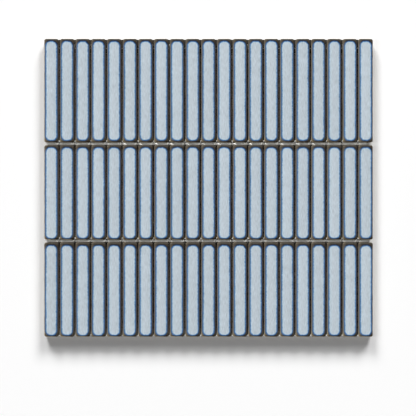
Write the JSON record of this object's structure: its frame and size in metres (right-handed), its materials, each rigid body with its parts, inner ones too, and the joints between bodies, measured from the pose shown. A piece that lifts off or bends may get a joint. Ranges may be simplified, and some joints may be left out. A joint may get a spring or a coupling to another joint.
{
  "type": "finger mosaic tile sheet",
  "caption": "Flat sheet of slim glazed ceramic finger mosaic in rows with open joints, held by a net on its back, for bedding on walls and splashbacks.",
  "frame": {"origin": "middle of the sheet's outline, on the surface that the net lies on", "axes": "+Z out of the glazed faces, +X across the fingers, +Y along them towards the row of longer fingers"},
  "size_m": [0.2928, 0.2654, 0.007],
  "materials": {
    "glazed_porcelain": "satin blue-grey glaze that breaks to dark blue and brown at the edges",
    "glass_fibre_net": "coated glass fibre yarn, matt white"
  },
  "bodies": {
    "root": {"finger_column_01": "glazed_porcelain", "finger_column_02": "glazed_porcelain", "finger_column_03": "glazed_porcelain", "finger_column_04": "glazed_porcelain", "finger_column_05": "glazed_porcelain", "finger_column_06": "glazed_porcelain", "finger_column_07": "glazed_porcelain", "finger_column_08": "glazed_porcelain", "finger_column_09": "glazed_porcelain", "finger_column_10": "glazed_porcelain", "finger_column_11": "glazed_porcelain", "finger_column_12": "glazed_porcelain", "finger_column_13": "glazed_porcelain", "finger_column_14": "glazed_porcelain", "finger_column_15": "glazed_porcelain", "finger_column_16": "glazed_porcelain", "finger_column_17": "glazed_porcelain", "finger_column_18": "glazed_porcelain", "finger_column_19": "glazed_porcelain", "finger_column_20": "glazed_porcelain", "finger_column_21": "glazed_porcelain", "mesh_weft_yarns": "glass_fibre_net", "mesh_warp_yarns": "glass_fibre_net"}
  },
  "joints": []
}
